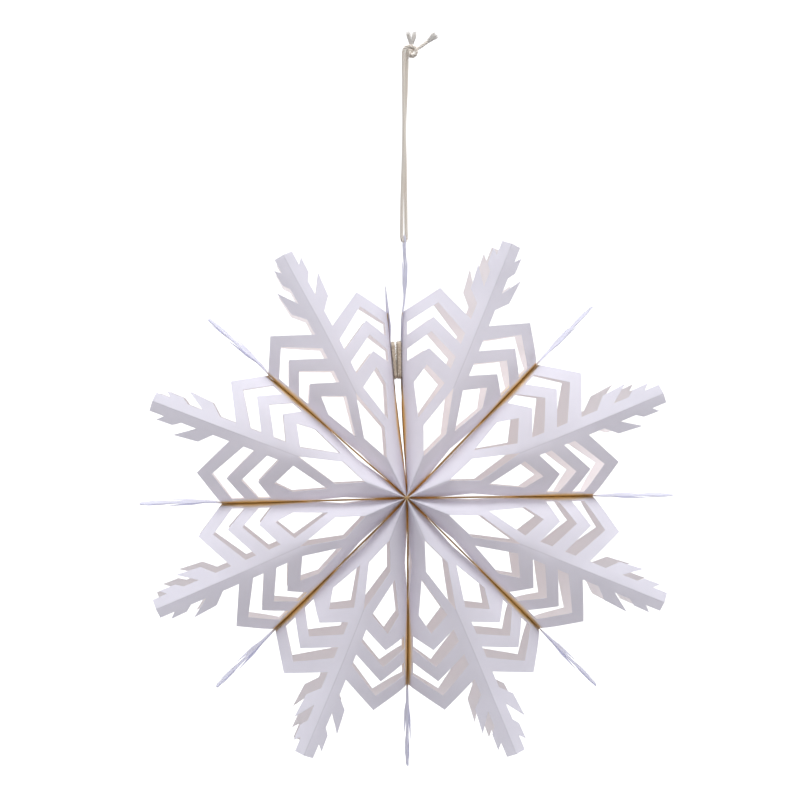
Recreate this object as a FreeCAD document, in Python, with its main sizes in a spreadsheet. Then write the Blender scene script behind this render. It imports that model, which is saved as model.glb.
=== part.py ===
"""Hanging paper star that folds flat like a fan (millimetres, +Z up, the front faces -Y).

The origin is where the star is hung: the top of its cord loop, just under the knot. Nine leaves stand on the hub's
axis (parallel to Y) like the pages of a book opened to a full circle, and eight paper cells fill the angles between
them. Each cell has a front crease and a back crease, and from each crease one cut panel runs down to the leaf on
either side. The two end leaves meet at the top, where a pair of closure pads holds them, and the star hangs by a
doubled cord through the first leaf's arm.
"""
import FreeCAD, Part
import math
import os

import Sketcher
from FreeCAD import Rotation, Vector

DOC = FreeCAD.newDocument("paper_star")
SHEET = DOC.addObject("Spreadsheet::Sheet", "Sizes")

SIZES = [
    # the fan
    ("hub_x", 0.9, "hub's axis, to the right of the hanging point"),
    ("hub_drop", 326.0, "hub's axis, below the hanging point"),
    ("first_leaf", 91.4, "direction of the first leaf, degrees from +X towards +Z"),
    ("pitch_wide", 45.4, "angle of cells 1 to 5"),
    ("pitch_narrow", 42.8, "angle of cells 6 to 8, pressed together at the closure"),
    ("fold_pitch", 1.1, "distance between leaves when the star is folded flat"),
    ("hub_start", 4.0, "radius where the papers begin"),
    ("end_start", 9.2, "radius where the two end leaves begin, which would cut into each other closer in"),
    # paper
    ("paper", 0.35, "thickness of one paper"),
    ("leaf_paper", 0.7, "thickness of a leaf: two papers back to back"),
    ("ridge_depth", 36.0, "how far a crease stands in front of or behind the leaves' middle"),
    ("bulge", 1.6, "how steeply a panel leaves its leaf: 1 is straight"),
    ("ridge_gap", 0.15, "half the gap between the two panels at a crease"),
    # the arm, the same outline on every crease and leaf: r is along the arm, w is out from its middle
    ("arm_w", 7.0, "half width of the arm"),
    ("tip_r", 200.5, "end of a crease's arm"),
    ("leaf_tip_r", 198.5, "end of a leaf's arm"),
    ("barb_root_r", 151.0, "large barb: where it leaves the arm"),
    ("barb_heel_r", 159.5, "large barb: heel"),
    ("barb_heel_w", 15.0, "large barb: heel"),
    ("barb_tip_r", 178.2, "large barb: point"),
    ("barb_tip_w", 16.8, "large barb: point"),
    ("barb_notch_r", 164.0, "large barb: bottom of the notch"),
    ("spur_root_r", 176.0, "small barb: where it leaves the arm"),
    ("spur_heel_r", 181.0, "small barb: heel"),
    ("spur_heel_w", 10.6, "small barb: heel"),
    ("spur_tip_r", 193.4, "small barb: point"),
    ("spur_tip_w", 11.0, "small barb: point"),
    ("spur_notch_r", 189.0, "small barb: bottom of the notch"),
    # three chevrons per panel: _in and _out are along the crease, apex r and w beside it, leaf r along the leaf
    ("outer_in_r", 127.2, "outer chevron: inner edge at the arm"),
    ("outer_out_r", 138.5, "outer chevron: outer edge at the arm"),
    ("outer_apex_r", 152.8, "outer chevron: apex"),
    ("outer_apex_w", 35.4, "outer chevron: apex"),
    ("outer_leaf_r", 137.8, "outer chevron: outer edge at the leaf"),
    ("middle_in_r", 108.8, "middle chevron"),
    ("middle_out_r", 118.8, "middle chevron"),
    ("middle_apex_r", 131.0, "middle chevron"),
    ("middle_apex_w", 31.8, "middle chevron"),
    ("middle_leaf_r", 118.1, "middle chevron"),
    ("inner_out_r", 99.4, "inner chevron: outer edge at the arm"),
    ("inner_apex_r", 108.4, "inner chevron"),
    ("inner_apex_w", 26.2, "inner chevron"),
    ("inner_leaf_r", 98.9, "inner chevron"),
    ("band_r", 10.6, "width of a chevron's band along the arm"),
    ("bank_w", 3.5, "uncut paper between a chevron gap and the leaf"),
    # kite window between hub and chevrons
    ("kite_low_r", 58.0, "kite window: lower corner"),
    ("kite_low_w", 13.6, "kite window: lower corner"),
    ("kite_arm_r", 88.0, "kite window: corner beside the arm"),
    ("kite_top_r", 96.7, "kite window: corner under the chevron"),
    ("kite_top_w", 23.1, "kite window: corner under the chevron"),
    ("kite_leaf_r", 85.2, "kite window: corner beside the leaf, along the leaf"),
    ("kite_leaf_w", 7.4, "kite window: corner beside the leaf, out from the leaf"),
    # diamond cuts across the creases and leaves near the hub
    ("crease_cut_start", 28.0, "diamond over a crease"),
    ("crease_cut_mid", 52.5, "diamond over a crease"),
    ("crease_cut_end", 87.0, "diamond over a crease"),
    ("crease_cut_w", 8.5, "diamond over a crease: half width"),
    ("leaf_cut_start", 21.0, "diamond over a leaf"),
    ("leaf_cut_mid", 47.5, "diamond over a leaf"),
    ("leaf_cut_end", 75.0, "diamond over a leaf"),
    ("leaf_cut_w", 3.6, "diamond over a leaf: half width"),
    ("spine_w", 1.5, "half width of the strip that stays in a leaf's diamond"),
    ("shoulder_r", 82.0, "where a leaf's strip has widened to the arm"),
    ("short_tip_r", 158.0, "end of the last leaf, which is a plain pointed tongue"),
    ("short_shoulder_r", 128.0, "where that tongue begins to narrow"),
    ("tongue_w", 0.6, "half width of its point"),
    # closure pads and cord
    ("pad_low_r", 89.0, "closure pads: lower end"),
    ("pad_tall", 27.0, "closure pads: height"),
    ("pad_deep", 14.0, "closure pads: depth along Y"),
    ("pad_thick", 3.0, "closure pads: thickness of each"),
    ("pad_round", 3.0, "closure pads: corner radius"),
    ("eye_r", 190.0, "punched hole in the first leaf's arm, from the hub"),
    ("eye_radius", 2.2, "punched hole: radius"),
    ("cord_radius", 1.2, "twisted cotton cord"),
    ("knot_wide", 5.4, "overhand knot: half width"),
    ("knot_deep", 4.6, "overhand knot: half depth"),
    ("knot_tall", 5.2, "overhand knot: half height"),
]
for row, (alias, value, meaning) in enumerate(SIZES, start=1):
    SHEET.set(f"A{row}", meaning)
    SHEET.set(f"B{row}", str(value))
    SHEET.setAlias(f"B{row}", alias)
DOC.recompute()


def size(alias):
    """A driving dimension, read back from the sheet."""
    return float(SHEET.get(alias))


def fan():
    """Directions in degrees of the nine leaves and the eight creases, clockwise from the first leaf."""
    leaves = [size("first_leaf")]
    for cell in range(1, 9):
        leaves.append(leaves[-1] - size("pitch_wide" if cell <= 5 else "pitch_narrow"))
    return leaves, [(one + two) / 2 for one, two in zip(leaves, leaves[1:])]


LEAVES, CREASES = fan()


HUB = Vector(size("hub_x"), 0, -size("hub_drop"))


def turned(direction):
    """Placement that turns a piece drawn along +Z to a direction of the fan, about the hub."""
    return FreeCAD.Placement(HUB, Rotation(Vector(0, 1, 0), 90 - direction))


# ---------------------------------------------------------------- leaves

ARM = [  # one side of the arm's outline from the chevrons to the tip: half width and radius by their cells' names
    ("arm_w", "barb_root_r"), ("barb_heel_w", "barb_heel_r"), ("barb_tip_w", "barb_tip_r"),
    ("arm_w", "barb_notch_r"), ("arm_w", "spur_root_r"), ("spur_heel_w", "spur_heel_r"),
    ("spur_tip_w", "spur_tip_r"), ("arm_w", "spur_notch_r"),
]
SHOULDER = [("spine_w", "leaf_cut_end"), ("arm_w", "shoulder_r")]
FULL_ARM = SHOULDER + ARM + [("arm_w", "leaf_tip_r")]
TONGUE = SHOULDER + [("arm_w", "short_shoulder_r"), ("tongue_w", "short_tip_r")]


def body_plane(body, role):
    return next(f for f in body.Origin.OriginFeatures if f.Role == role)


def outline(sketch, side):
    """Closed symmetric outline through one side's corners and their mirror images, each bound to the sheet."""
    corners = [(1, w, r) for w, r in side] + [(-1, w, r) for w, r in reversed(side)]
    spots = [Vector(sign * size(w), size(r), 0) for sign, w, r in corners]
    lines = [Part.LineSegment(one, two) for one, two in zip(spots, spots[1:] + spots[:1])]
    first = sketch.addGeometry(lines, False)[0]
    for n, (sign, w, r) in enumerate(corners):
        line = first + n
        after = first + (n + 1) % len(corners)
        sketch.addConstraint(Sketcher.Constraint("Coincident", line, 2, after, 1))
        for kind, value, bound in (
            ("DistanceX", sign * size(w), f"{sign} * Sizes.{w}"),
            ("DistanceY", size(r), f"Sizes.{r}"),
        ):
            number = sketch.addConstraint(Sketcher.Constraint(kind, -1, 1, line, 1, value))
            sketch.setExpression(f"Constraints[{number}]", bound)


def leaf(number):
    """A leaf drawn in the YZ plane along +Z and padded to both sides; the first one has the cord's punched hole."""
    body = DOC.addObject("PartDesign::Body", f"leaf_{number}")
    body.Label = f"leaf_{number}"
    sketch = body.newObject("Sketcher::SketchObject", f"leaf_{number}_outline")
    sketch.AttachmentSupport = [(body_plane(body, "YZ_Plane"), "")]
    sketch.MapMode = "FlatFace"
    start = "end_start" if number in (0, 8) else "hub_start"
    outline(sketch, [("spine_w", start)] + (TONGUE if number == 8 else FULL_ARM))
    if number == 0:
        eye = sketch.addGeometry(Part.Circle(Vector(0, size("eye_r"), 0), Vector(0, 0, 1), size("eye_radius")))
        sketch.addConstraint(Sketcher.Constraint("PointOnObject", eye, 3, -2))
        for kind, where, bound in (
            ("DistanceY", (-1, 1, eye, 3, size("eye_r")), "Sizes.eye_r"),
            ("Radius", (eye, size("eye_radius")), "Sizes.eye_radius"),
        ):
            place = sketch.addConstraint(Sketcher.Constraint(kind, *where))
            sketch.setExpression(f"Constraints[{place}]", bound)
    pad = body.newObject("PartDesign::Pad", f"leaf_{number}_pad")
    pad.Profile = sketch
    pad.setExpression("Length", "Sizes.leaf_paper")
    pad.Midplane = True
    body.Placement = turned(LEAVES[number])
    return body


# ---------------------------------------------------------------- panels

def rise(share):
    """Depth of a panel as a share of the crease's depth, from 0 at the leaf to 1 at the crease."""
    return size("bulge") * math.sqrt(share) - (size("bulge") - 1) * share


def section(radius, half_angle):
    """Closed profile of one front panel across the arm: from the crease at X = 0 down to the leaf on the +X side."""
    reach = radius * math.tan(math.radians(half_angle)) - size("leaf_paper") / 2 - 0.05
    outer, inner = [], []
    for share in (0.0, 0.004, 0.02, 0.08, 0.25, 0.55, 1.0):
        x = max(reach * (1 - share), size("ridge_gap"))
        y = -size("ridge_depth") * rise(share)
        dx, dy = -reach, -size("ridge_depth") * (rise(share + 1e-4) - rise(share)) / 1e-4
        long = math.hypot(dx, dy)
        outer.append(Vector(x, y, radius))
        step = Vector(dy / long, -dx / long, 0) if share else Vector(-1, 0, 0)
        inner.append(outer[-1] + step * size("paper"))
    inner[-1].x = size("ridge_gap")
    edges = []
    for points in (outer, inner[::-1]):
        curve = Part.BSplineCurve()
        curve.interpolate(points)
        edges.append(curve.toShape())
    ends = [Part.makeLine(outer[-1], inner[-1]), Part.makeLine(inner[0], outer[0])]
    return Part.Wire([edges[0], ends[0], edges[1], ends[1]])


def from_leaf(along, out, half_angle):
    """(w, r) beside the crease of a point given along the leaf and out from it."""
    a = math.radians(half_angle)
    return along * math.sin(a) - out * math.cos(a), along * math.cos(a) + out * math.sin(a)


def window(points):
    corners = [Vector(w, 0, r) for w, r in points]
    return Part.makePolygon(corners + corners[:1])


def chevron_gap(low, high, half_angle):
    """Window between the chevron named low and the next one out, whose band is band_r wide."""
    arm, band, bank = size("arm_w"), size("band_r"), size("bank_w")
    low_tip = (size(low + "_apex_w"), size(low + "_apex_r"))
    high_tip = (size(high + "_apex_w") * 0.92, size(high + "_apex_r") - band)
    return window([
        (arm, size(low + "_out_r")), low_tip,
        from_leaf(size(low + "_leaf_r") + 2.3, bank, half_angle),
        from_leaf(size(high + "_leaf_r") - band + 2.9, bank, half_angle),
        high_tip, (arm, size(high + "_in_r")),
    ])


def pattern(half_angle):
    """The cut-out of one front panel, seen along Y: a face with its windows."""
    edge = 0.0
    arm = [(size(w), size(r)) for w, r in ARM]
    rim = [
        (edge, size("hub_start") - 1), (edge, size("crease_cut_start")),
        (size("crease_cut_w"), size("crease_cut_mid")), (edge, size("crease_cut_end")),
        (edge, size("tip_r")), (size("arm_w"), size("tip_r") - 1.5),
    ]
    rim += arm[::-1]
    rim += [(size("arm_w"), size("outer_out_r")), (size("outer_apex_w"), size("outer_apex_r"))]
    rim += [
        from_leaf(size(along) if along else size("hub_start") - 1, out, half_angle)
        for along, out in (
            ("outer_leaf_r", -1.0), ("leaf_cut_end", -1.0), ("leaf_cut_end", 0.4),
            ("leaf_cut_mid", size("leaf_cut_w")), ("leaf_cut_start", 0.4), ("leaf_cut_start", -1.0), ("", -1.0),
        )
    ]
    kite = window([
        (size("kite_low_w"), size("kite_low_r")), (size("arm_w"), size("kite_arm_r")),
        (size("kite_top_w"), size("kite_top_r")),
        from_leaf(size("kite_leaf_r"), size("kite_leaf_w"), half_angle),
    ])
    gaps = [chevron_gap("inner", "middle", half_angle), chevron_gap("middle", "outer", half_angle)]
    face = Part.Face(window(rim))
    for hole in [kite] + gaps:
        face = face.cut(Part.Face(hole))
    return face


def panel_shape(half_angle):
    """Front panel on the +X side of a crease that points along +Z."""
    sections = [section(size(r), half_angle) for r in ("hub_start", "tip_r")]
    paper = Part.makeLoft(sections, True, True)
    cutter = pattern(half_angle).extrude(Vector(0, -size("ridge_depth") - 1, 0))
    solids = paper.common(cutter).Solids
    return max(solids, key=lambda s: s.Volume)


def panels():
    """Four panels per cell: a rides with the leaf before it and b with the leaf after it, clockwise."""
    made = []
    shapes = {p: panel_shape(size(p) / 2) for p in ("pitch_wide", "pitch_narrow")}
    for cell in range(1, 9):
        base = shapes["pitch_wide" if cell <= 5 else "pitch_narrow"]
        for side, face in (("front", base), ("back", base.mirror(Vector(), Vector(0, 1, 0)))):
            for letter in "ab":
                shape = face if letter == "b" else face.mirror(Vector(), Vector(1, 0, 0))
                panel = DOC.addObject("Part::Feature", f"cell{cell}_{side}_{letter}")
                panel.Label = f"cell{cell}_{side}_{letter}"
                panel.Shape = shape
                panel.Placement = turned(CREASES[cell - 1])
                made.append(panel)
    return made


# ---------------------------------------------------------------- closure

def closure_pad(name, direction, start):
    """Rounded block on the inner face of an end leaf, from start along the leaf's own X."""
    block = DOC.addObject("Part::Box", f"{name}_block")
    block.setExpression("Length", "Sizes.pad_thick")
    block.setExpression("Width", "Sizes.pad_deep")
    block.setExpression("Height", "Sizes.pad_tall")
    block.setExpression("Placement.Base.x", start)
    block.setExpression("Placement.Base.y", "-Sizes.pad_deep / 2")
    block.setExpression("Placement.Base.z", "Sizes.pad_low_r")
    DOC.recompute()
    pad = DOC.addObject("Part::Fillet", name)
    pad.Base = block
    along_x = [
        n for n, edge in enumerate(block.Shape.Edges, start=1)
        if abs(edge.tangentAt(edge.FirstParameter).x) > 0.9
    ]
    pad.Edges = [(n, size("pad_round"), size("pad_round")) for n in along_x]
    pad.Label = name
    pad.Placement = turned(direction)
    return pad


# ---------------------------------------------------------------- cord

# The cord's route: from the knot down the left strand, through the punched hole and up the right strand. The
# strands cross once on the way. EYE_Z is the height of the cord in the hole, just under the hole's upper edge.
EYE_Z = -135.3
LOOP = [
    (0.3, -1.0, -0.8), (-0.1, -1.5, -20.0), (-1.5, -1.9, -50.0), (-3.3, -1.5, -80.0), (-5.1, -0.6, -107.0),
    (-6.1, 0.0, -127.0), (-6.2, 0.1, EYE_Z), (-1.2, -0.1, EYE_Z - 0.1), (-1.1, 0.0, -127.0),
    (-1.7, 0.7, -107.0), (-2.4, 1.6, -80.0), (-2.7, 1.9, -50.0), (-1.8, 1.4, -20.0), (-0.3, 0.9, -0.8),
]
TAIL_UP = [(2.5, 0.2, 8.0), (2.1, -0.3, 14.0), (3.3, -0.8, 20.4)]
TAIL_SIDE = [(5.9, 0.2, 6.6), (12.4, -0.4, 9.5), (18.9, -0.2, 16.0)]
KNOT = Vector(2.7, 0, 5)


def tube(name, route):
    """A tube along straight runs joined by tangent arcs, each as large as its two runs allow."""
    spots = [Vector(*p) for p in route]
    edges, start, radii = [], spots[0], []
    for before, corner, after in zip(spots, spots[1:], spots[2:]):
        one, two = (corner - before), (after - corner)
        turn = one.getAngle(two)
        cut = 0.45 * min(one.Length, two.Length)
        radii.append(round(cut / math.tan(turn / 2), 1))
        back = Vector(one).normalize()
        ahead = Vector(two).normalize()
        enter, leave = corner - back * cut, corner + ahead * cut
        bisector = (ahead - back).normalize()
        centre = corner + bisector * (cut / math.sin(turn / 2))
        middle = centre - bisector * (cut / math.tan(turn / 2))
        edges.append(Part.LineSegment(start, enter).toShape())
        edges.append(Part.Arc(enter, middle, leave).toShape())
        start = leave
    edges.append(Part.LineSegment(start, spots[-1]).toShape())
    path = Part.Wire(edges)
    ring = Part.Wire(Part.Circle(spots[0], spots[1] - spots[0], size("cord_radius")).toShape())
    solid = Part.Solid(path.makePipeShell([ring], True, False))
    expected = math.pi * size("cord_radius") ** 2 * path.Length
    print(f"{name}: {path.Length:.1f} mm long, radii {radii}, volume {solid.Volume / expected:.4f} of section x length")
    cord = DOC.addObject("Part::Feature", name)
    cord.Label = name
    cord.Shape = solid
    return cord


def knot():
    ball = DOC.addObject("Part::Ellipsoid", "cord_knot")
    ball.Label = "cord_knot"
    ball.setExpression("Radius1", "Sizes.knot_tall")
    ball.setExpression("Radius2", "Sizes.knot_wide")
    ball.setExpression("Radius3", "Sizes.knot_deep")
    ball.Placement = FreeCAD.Placement(KNOT, Rotation())
    return ball


# ---------------------------------------------------------------- build and write

pieces = [leaf(number) for number in range(9)]
pieces += panels()
inner_face = "Sizes.leaf_paper / 2"
pieces.append(closure_pad("pad_first", LEAVES[0], f"-{inner_face} - Sizes.pad_thick"))
pieces.append(closure_pad("pad_last", LEAVES[8], inner_face))
pieces += [tube("cord_loop", LOOP), knot(), tube("cord_tail_up", TAIL_UP), tube("cord_tail_side", TAIL_SIDE)]
DOC.recompute()

for thing in DOC.Objects:
    if "Invalid" in thing.State or "Error" in thing.State:
        raise RuntimeError(f"{thing.Name} failed: {thing.State}")
for piece in pieces:
    if piece.Shape.isNull() or not piece.Shape.isValid() or len(piece.Shape.Solids) != 1:
        raise RuntimeError(f"{piece.Label} is not one valid solid")

os.makedirs("parts", exist_ok=True)
for piece in pieces:
    piece.Shape.exportStep(os.path.join("parts", piece.Label + ".step"))
hinge = {p: size("fold_pitch") / 2 / math.sin(math.radians(size(p) / 2)) for p in ("pitch_wide", "pitch_narrow")}
print(f"{len(pieces)} pieces; the folds turn about lines {hinge} mm from the hub's axis")
print("leaves", [round(a, 2) for a in LEAVES], "creases", [round(a, 2) for a in CREASES])
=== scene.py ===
# %% [markdown]
# # Folded paper star on a cotton cord
#
# The real object is a stack of die-cut papers glued along alternate lines. Opened to a full circle, it becomes a
# star: nine leaves stand on edge around a hub, and in each of the eight gaps between them a front paper and a back
# paper bulge outwards to a sharp crease. Everything here is in metres, +Z is up and the front faces -Y. The packed
# CAD model is loaded first, as the frame that every piece has to stay inside.

import math

import bpy
import numpy as np
from mathutils import Matrix, Vector
from mathutils.geometry import delaunay_2d_cdt


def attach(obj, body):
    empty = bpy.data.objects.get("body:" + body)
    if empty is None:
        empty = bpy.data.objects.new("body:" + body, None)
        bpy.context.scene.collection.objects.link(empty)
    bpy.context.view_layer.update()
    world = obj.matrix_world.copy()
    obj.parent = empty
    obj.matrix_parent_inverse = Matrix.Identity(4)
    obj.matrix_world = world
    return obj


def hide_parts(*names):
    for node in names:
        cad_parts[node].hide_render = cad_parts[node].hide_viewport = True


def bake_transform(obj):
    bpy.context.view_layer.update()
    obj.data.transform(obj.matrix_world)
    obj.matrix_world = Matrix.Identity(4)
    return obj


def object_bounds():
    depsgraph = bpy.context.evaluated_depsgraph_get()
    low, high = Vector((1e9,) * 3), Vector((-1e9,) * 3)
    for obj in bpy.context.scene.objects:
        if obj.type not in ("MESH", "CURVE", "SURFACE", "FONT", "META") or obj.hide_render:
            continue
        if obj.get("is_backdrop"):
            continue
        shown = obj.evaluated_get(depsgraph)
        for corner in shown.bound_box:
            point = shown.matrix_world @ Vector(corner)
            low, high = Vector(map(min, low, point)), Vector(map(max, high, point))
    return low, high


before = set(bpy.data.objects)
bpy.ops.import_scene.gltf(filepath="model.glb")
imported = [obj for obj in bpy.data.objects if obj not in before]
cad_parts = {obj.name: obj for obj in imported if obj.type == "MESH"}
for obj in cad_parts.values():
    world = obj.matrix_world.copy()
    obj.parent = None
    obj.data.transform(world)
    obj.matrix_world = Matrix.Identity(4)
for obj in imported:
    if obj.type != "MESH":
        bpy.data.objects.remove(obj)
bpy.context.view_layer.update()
MM = 0.001


def corners():
    """The whole object's lowest and highest corner as plain lists."""
    return [[float(c) for c in corner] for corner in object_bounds()]


# %% [markdown]
# ## The fan's own numbers
#
# The hub is a line parallel to Y. Directions are in degrees from +X towards +Z. The eight cells are not all equally
# wide: the last three are squeezed where the closure pads hold the two ends together, so two pitches are enough to
# place every leaf and every crease.

# %% Hub, leaves and creases
HUB = Vector((0.9, 0.0, -326.0)) * MM
WIDE, NARROW = 45.4, 42.8
LEAVES = [91.4]
for cell in range(1, 9):
    LEAVES.append(LEAVES[-1] - (WIDE if cell <= 5 else NARROW))
CREASES = [(one + two) / 2 for one, two in zip(LEAVES, LEAVES[1:])]
DEPTH, BULGE = 36.0, 1.6
print("leaves", [round(d, 1) for d in LEAVES])
print("creases", [round(d, 1) for d in CREASES])

# %% [markdown]
# ## Camera, studio and light
#
# A long lens from the front, a little to the left of the star's middle, so that the back papers show beside the
# front ones. The studio is a flat pale floor and a bright backdrop. White paper needs very little light shaping: a
# surround that grows brighter with height does most of it, one soft box above and in front gives the upper faces
# their slight advantage over the lower ones, and two weak ones fill in from the sides.

# %% Camera
eye = HUB + Vector((-0.1125, -1.646, 0.064))
aim = Vector((0.0646, 0.998, 0.0053)).normalized()
lens = bpy.data.cameras.new("camera")
lens.lens, lens.sensor_width = 100.0, 36.0
camera = bpy.data.objects.new("camera", lens)
camera.location = eye
camera.rotation_euler = aim.to_track_quat("-Z", "Y").to_euler()
bpy.context.collection.objects.link(camera)
bpy.context.scene.camera = camera
bpy.context.scene.view_settings.view_transform = "Standard"
print("camera at", [round(c, 3) for c in eye])


# %% Node helpers for materials
def shader(name, colour, roughness, specular=0.3):
    """A material with one Principled shader, whose even values are set on its own sockets."""
    material = bpy.data.materials.new(name)
    material.use_nodes = True
    face = material.node_tree.nodes["Principled BSDF"]
    face.inputs["Base Color"].default_value = (*colour, 1)
    face.inputs["Roughness"].default_value = roughness
    face.inputs["Specular IOR Level"].default_value = specular
    return material, material.node_tree, face


def add(tree, kind, **values):
    """One node; values that name a socket set it or link to it, the others set the node itself."""
    node = tree.nodes.new(kind)
    plugs = {}
    for key, value in values.items():
        if key in node.bl_rna.properties:
            setattr(node, key, value)
        else:
            plugs[key] = value
    for key, value in plugs.items():
        name = key.replace("_", " ")
        place = next(
            (s for s in node.inputs if s.enabled and (s.name == name or s.identifier == key)), None
        )
        if isinstance(value, bpy.types.NodeSocket):
            tree.links.new(value, place)
        else:
            place.default_value = value
    return node


def ramp(tree, factor, *stops):
    """A colour ramp through (position, colour) stops."""
    node = tree.nodes.new("ShaderNodeValToRGB")
    band = node.color_ramp
    while len(band.elements) < len(stops):
        band.elements.new(0.5)
    for element, (place, colour) in zip(band.elements, stops):
        element.position = place
        element.color = (*colour, 1)
    tree.links.new(factor, node.inputs["Fac"])
    return node.outputs["Color"]


# %% Floor, backdrop and surround
def flat_stage(name, spots, colour, glow):
    """One flat rectangle of the studio."""
    mesh = bpy.data.meshes.new(name)
    mesh.from_pydata(spots, [], [(0, 1, 2, 3)])
    material, _, face = shader(name, colour, 0.9, 0.1)
    face.inputs["Emission Color"].default_value = (1, 1, 1, 1)
    face.inputs["Emission Strength"].default_value = glow
    mesh.materials.append(material)
    flat = bpy.data.objects.new(name, mesh)
    bpy.context.collection.objects.link(flat)
    flat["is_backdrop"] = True


flat_stage("studio_floor", [(-3, -3, -1.9), (3, -3, -1.9), (3, 3.4, -1.9), (-3, 3.4, -1.9)], (0.5, 0.5, 0.51), 0.0)
flat_stage("studio_backdrop", [(-4, 3.4, -2.2), (4, 3.4, -2.2), (4, 3.4, 3), (-4, 3.4, 3)], (0.5, 0.5, 0.5), 0.95)

def ranged(tree, value, low, high, to_low=0.0, to_high=1.0, smooth=True):
    """The value's place between low and high, brought to the range to_low to to_high."""
    kind = {"interpolation_type": "SMOOTHSTEP"} if smooth else {}
    part = add(tree, "ShaderNodeMapRange", Value=value, **kind)
    for plug, number in zip(part.inputs[1:5], (low, high, to_low, to_high)):
        plug.default_value = number
    return part.outputs[0]


surround = bpy.data.worlds.new("surround")
surround.use_nodes = True
sky = surround.node_tree
height = add(sky, "ShaderNodeSeparateXYZ", Vector=add(sky, "ShaderNodeTexCoord").outputs["Generated"]).outputs[2]
strength = ranged(sky, height, -1.0, 1.0, to_low=-0.3, to_high=1.04, smooth=False)
sky.nodes["Background"].inputs["Color"].default_value = (0.97, 0.98, 1.0, 1)
sky.links.new(strength, sky.nodes["Background"].inputs["Strength"])
bpy.context.scene.world = surround


def soft_box(name, place, target, size, power):
    light = bpy.data.lights.new(name, "AREA")
    light.shape, light.size, light.energy = "DISK", size, power
    lamp = bpy.data.objects.new(name, light)
    lamp.location = place
    lamp.rotation_euler = (Vector(target) - Vector(place)).to_track_quat("-Z", "Y").to_euler()
    bpy.context.collection.objects.link(lamp)


middle = HUB.copy()
soft_box("key", (0.1, -1.2, 2.5), middle, 1.3, 57)
soft_box("left", (-2.2, -0.6, 0.7), middle, 1.5, 7)
soft_box("right", (2.2, -0.6, 0.7), middle, 1.5, 7)
bpy.context.scene.cycles.diffuse_bounces = 8
bpy.context.scene.cycles.max_bounces = 12
print("studio ready")

# %% [markdown]
# ## Cotton cord
#
# The star hangs from one doubled length of natural cotton cord about 2.4 mm thick. Real cord is laid from plies that
# wind around each other, and that winding is what the eye reads, so each cord is three plies swept round a smooth
# route. The route is a NURBS spline through the same points that the CAD tube follows. A Geometry Nodes tree
# duplicates the route once per ply, pushes each copy out to a helix and gives it a round section. The ply's own
# length and angle are kept as attributes, so the fibres in the material can follow the twist.


# %% Geometry Nodes helpers
SOCKETS = {float: "NodeSocketFloat", int: "NodeSocketInt", Vector: "NodeSocketVector"}


def new_tree(name, **inputs):
    """A Geometry Nodes tree with named inputs. Returns the tree, its input sockets by name and its output node."""
    tree = bpy.data.node_groups.new(name, "GeometryNodeTree")
    tree.interface.new_socket("Geometry", in_out="INPUT", socket_type="NodeSocketGeometry")
    tree.interface.new_socket("Geometry", in_out="OUTPUT", socket_type="NodeSocketGeometry")
    for key, value in inputs.items():
        label = key.replace("_", " ").title()
        kind = "NodeSocketMaterial" if value is None else SOCKETS[type(value)]
        plug = tree.interface.new_socket(label, in_out="INPUT", socket_type=kind)
        if value is not None:
            plug.default_value = value
    start = tree.nodes.new("NodeGroupInput")
    return tree, {s.name: s for s in start.outputs}, tree.nodes.new("NodeGroupOutput")


def maths(tree, operation, *values):
    """One Math node whose inputs are numbers or sockets."""
    node = tree.nodes.new("ShaderNodeMath")
    node.operation = operation
    for plug, value in zip(node.inputs, values):
        if isinstance(value, bpy.types.NodeSocket):
            tree.links.new(value, plug)
        else:
            plug.default_value = value
    return node.outputs[0]


def vectors(tree, operation, one, two=None, scale=None):
    """One Vector Math node."""
    node = tree.nodes.new("ShaderNodeVectorMath")
    node.operation = operation
    for key, value in ((0, one), (1, two), ("Scale", scale)):
        if isinstance(value, bpy.types.NodeSocket):
            tree.links.new(value, node.inputs[key])
        elif value is not None:
            node.inputs[key].default_value = value
    return node.outputs["Value" if operation in ("LENGTH", "DOT_PRODUCT") else "Vector"]


def grown(name, source, tree, **settings):
    """Runs a tree on a mesh with the given named inputs and returns the result as a plain mesh object."""
    holder = bpy.data.objects.new(name + "_source", source)
    bpy.context.collection.objects.link(holder)
    modifier = holder.modifiers.new("tree", "NODES")
    modifier.node_group = tree
    labels = {key.replace("_", " ").title(): value for key, value in settings.items()}
    for item in tree.interface.items_tree:
        if item.item_type == "SOCKET" and item.in_out == "INPUT" and item.name in labels:
            modifier[item.identifier] = labels.pop(item.name)
    if labels:
        raise ValueError(f"{tree.name} has no input {list(labels)}")
    bpy.context.view_layer.update()
    graph = bpy.context.evaluated_depsgraph_get()
    mesh = bpy.data.meshes.new_from_object(
        holder.evaluated_get(graph), preserve_all_data_layers=True, depsgraph=graph
    )
    holder.modifiers.remove(modifier)
    bpy.data.objects.remove(holder)
    mesh.name = name
    piece = bpy.data.objects.new(name, mesh)
    bpy.context.collection.objects.link(piece)
    return piece


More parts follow.
